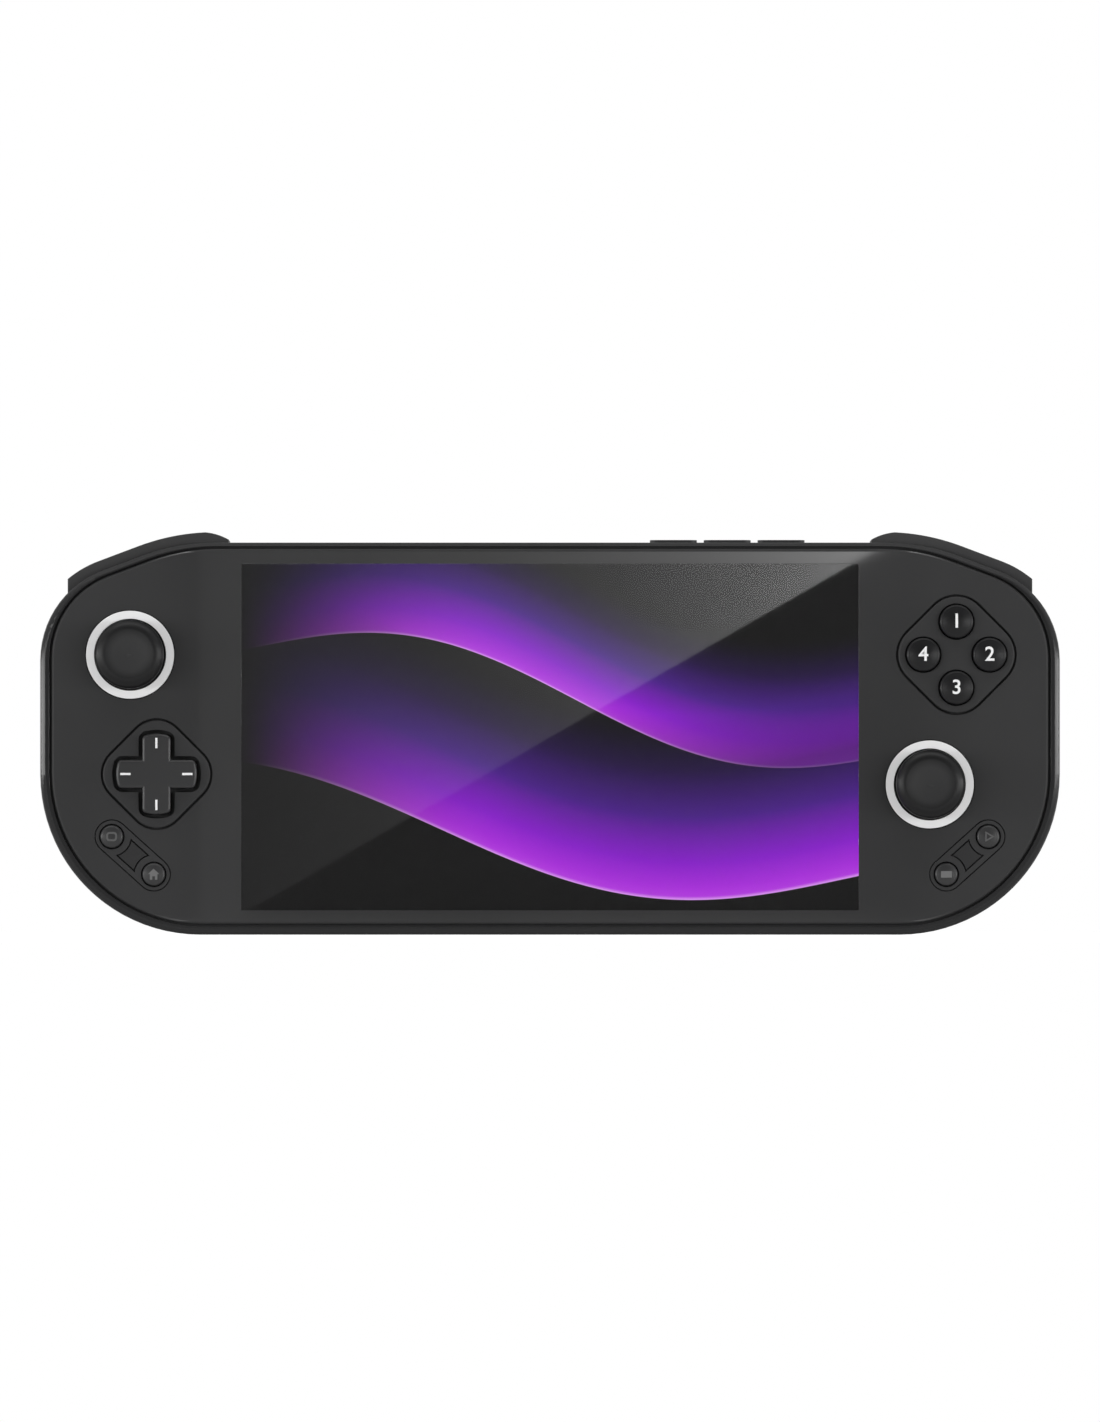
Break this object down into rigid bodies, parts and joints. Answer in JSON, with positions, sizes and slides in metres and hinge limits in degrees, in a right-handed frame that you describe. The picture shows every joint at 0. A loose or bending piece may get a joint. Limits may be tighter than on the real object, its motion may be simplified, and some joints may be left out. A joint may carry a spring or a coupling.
{
  "type": "handheld game console",
  "caption": "Handheld game console with a wide screen, ringed thumb sticks, a direction pad, round buttons, hinged shoulder keys and edge ports.",
  "frame": {"origin": "middle of the bottom edge, halfway between the stick tops and the back", "axes": "+X to the player's right, -Y out of the screen, +Z from the bottom edge to the top edge"},
  "size_m": [0.188, 0.023, 0.0743],
  "materials": {
    "shell": "satin dark grey moulding",
    "panel": "smooth dark grey",
    "screen": "clear and polished",
    "display": "lit picture",
    "bracket": "bare sheet",
    "steel": "bare",
    "board": "green solder mask",
    "cell": "wrapped foil pouch",
    "black": "black moulding",
    "light": "white diffuser",
    "membrane": "grey silicone",
    "key": "satin dark grey",
    "grip": "dark rubber"
  },
  "bodies": {
    "console": {"front_frame": "shell", "front_panel": "panel", "screen_glass": "screen", "display_module": "display", "display_bracket": "bracket", "rear_shell": "shell", "main_board": "board", "shield_can": "bracket", "battery": "cell", "left_control_board": "board", "right_control_board": "board", "port_board": "board", "usb_port": "steel", "headphone_jack": "black", "card_socket": "steel", "left_speaker": "black", "right_speaker": "black", "dpad_plate": "panel", "face_button_plate": "panel", "menu_plates": "panel", "menu_inlays": "panel", "left_light_ring": "light", "right_light_ring": "light", "left_stick_housing": "black", "right_stick_housing": "black", "dpad_membrane": "membrane", "face_button_membrane": "membrane", "menu_membranes": "membrane", "dpad_post": "black", "shoulder_pins": "steel", "shoulder_switches": "board", "trigger_springs": "steel", "top_key_board": "board", "case_screws": "steel", "board_screws": "steel"},
    "dpad_ball": {"dpad_pivot_ball": "steel"},
    "dpad": {"dpad_cross": "key"},
    "face_top": {"face_button_top": "key"},
    "face_right": {"face_button_right": "key"},
    "face_bottom": {"face_button_bottom": "key"},
    "face_left": {"face_button_left": "key"},
    "return": {"return_button": "key"},
    "home": {"home_button": "key"},
    "start": {"start_button": "key"},
    "select": {"select_button": "key"},
    "volume_down": {"volume_down_key": "key"},
    "volume_up": {"volume_up_key": "key"},
    "power": {"power_key": "key"},
    "left_bumper": {"left_bumper": "key"},
    "left_trigger": {"left_trigger": "key"},
    "right_bumper": {"right_bumper": "key"},
    "right_trigger": {"right_trigger": "key"},
    "left_stick_cradle": {"left_stick_cradle": "steel"},
    "left_stick_yoke": {"left_stick_yoke": "steel"},
    "left_stick": {"left_stick_post": "black", "left_stick_cap": "grip"},
    "right_stick_cradle": {"right_stick_cradle": "steel"},
    "right_stick_yoke": {"right_stick_yoke": "steel"},
    "right_stick": {"right_stick_post": "black", "right_stick_cap": "grip"}
  },
  "joints": [
    {"name": "dpad_up_down", "type": "hinge", "parent": "console", "child": "dpad_ball", "pos_m": [-0.0725, -0.0027, 0.0296], "axis": [1, 0, 0], "range_deg": [-4.5, 4.5], "stiffness_Nm_per_rad": 0.09, "deforming": ["dpad_membrane"]},
    {"name": "dpad_left_right", "type": "hinge", "parent": "dpad_ball", "child": "dpad", "pos_m": [-0.0725, -0.0027, 0.0296], "axis": [0, 0, 1], "range_deg": [-4.5, 4.5], "stiffness_Nm_per_rad": 0.09, "deforming": ["dpad_membrane"]},
    {"name": "face_top_press", "type": "slide", "parent": "console", "child": "face_top", "axis": [0, 1, 0], "range_m": [0, 0.0012], "stiffness_N_per_m": 400, "deforming": ["face_button_membrane"]},
    {"name": "face_right_press", "type": "slide", "parent": "console", "child": "face_right", "axis": [0, 1, 0], "range_m": [0, 0.0012], "stiffness_N_per_m": 400, "deforming": ["face_button_membrane"]},
    {"name": "face_bottom_press", "type": "slide", "parent": "console", "child": "face_bottom", "axis": [0, 1, 0], "range_m": [0, 0.0012], "stiffness_N_per_m": 400, "deforming": ["face_button_membrane"]},
    {"name": "face_left_press", "type": "slide", "parent": "console", "child": "face_left", "axis": [0, 1, 0], "range_m": [0, 0.0012], "stiffness_N_per_m": 400, "deforming": ["face_button_membrane"]},
    {"name": "return_press", "type": "slide", "parent": "console", "child": "return", "axis": [0, 1, 0], "range_m": [0, 0.0006], "stiffness_N_per_m": 600, "deforming": ["menu_membranes"]},
    {"name": "home_press", "type": "slide", "parent": "console", "child": "home", "axis": [0, 1, 0], "range_m": [0, 0.0006], "stiffness_N_per_m": 600, "deforming": ["menu_membranes"]},
    {"name": "start_press", "type": "slide", "parent": "console", "child": "start", "axis": [0, 1, 0], "range_m": [0, 0.0006], "stiffness_N_per_m": 600, "deforming": ["menu_membranes"]},
    {"name": "select_press", "type": "slide", "parent": "console", "child": "select", "axis": [0, 1, 0], "range_m": [0, 0.0006], "stiffness_N_per_m": 600, "deforming": ["menu_membranes"]},
    {"name": "volume_down_press", "type": "slide", "parent": "console", "child": "volume_down", "axis": [0, 0, -1], "range_m": [0, 0.00035], "stiffness_N_per_m": 1500},
    {"name": "volume_up_press", "type": "slide", "parent": "console", "child": "volume_up", "axis": [0, 0, -1], "range_m": [0, 0.00035], "stiffness_N_per_m": 1500},
    {"name": "power_press", "type": "slide", "parent": "console", "child": "power", "axis": [0, 0, -1], "range_m": [0, 0.00035], "stiffness_N_per_m": 1500},
    {"name": "left_bumper_pull", "type": "hinge", "parent": "console", "child": "left_bumper", "pos_m": [-0.0619, -0.0002, 0.0694], "axis": [0, -1, 0], "range_deg": [0, 2.5], "stiffness_Nm_per_rad": 0.6},
    {"name": "left_trigger_pull", "type": "hinge", "parent": "console", "child": "left_trigger", "pos_m": [-0.0619, 0.0055, 0.0694], "axis": [0, -1, 0], "range_deg": [0, 4], "stiffness_Nm_per_rad": 0.2, "deforming": ["trigger_springs"]},
    {"name": "right_bumper_pull", "type": "hinge", "parent": "console", "child": "right_bumper", "pos_m": [0.0619, -0.0002, 0.0694], "axis": [0, 1, 0], "range_deg": [0, 2.5], "stiffness_Nm_per_rad": 0.6},
    {"name": "right_trigger_pull", "type": "hinge", "parent": "console", "child": "right_trigger", "pos_m": [0.0619, 0.0055, 0.0694], "axis": [0, 1, 0], "range_deg": [0, 4], "stiffness_Nm_per_rad": 0.2, "deforming": ["trigger_springs"]},
    {"name": "left_stick_click", "type": "slide", "parent": "console", "child": "left_stick_cradle", "axis": [0, 1, 0], "range_m": [0, 0.0004], "stiffness_N_per_m": 4000},
    {"name": "left_stick_up_down", "type": "hinge", "parent": "left_stick_cradle", "child": "left_stick_yoke", "pos_m": [-0.0774, -0.0003, 0.0516], "axis": [1, 0, 0], "range_deg": [-15, 15], "stiffness_Nm_per_rad": 0.012},
    {"name": "left_stick_left_right", "type": "hinge", "parent": "left_stick_yoke", "child": "left_stick", "pos_m": [-0.0774, -0.0003, 0.0516], "axis": [0, 0, 1], "range_deg": [-15, 15], "stiffness_Nm_per_rad": 0.012},
    {"name": "right_stick_click", "type": "slide", "parent": "console", "child": "right_stick_cradle", "axis": [0, 1, 0], "range_m": [0, 0.0004], "stiffness_N_per_m": 4000},
    {"name": "right_stick_up_down", "type": "hinge", "parent": "right_stick_cradle", "child": "right_stick_yoke", "pos_m": [0.07, -0.0003, 0.0277], "axis": [1, 0, 0], "range_deg": [-15, 15], "stiffness_Nm_per_rad": 0.012},
    {"name": "right_stick_left_right", "type": "hinge", "parent": "right_stick_yoke", "child": "right_stick", "pos_m": [0.07, -0.0003, 0.0277], "axis": [0, 0, 1], "range_deg": [-15, 15], "stiffness_Nm_per_rad": 0.012}
  ]
}
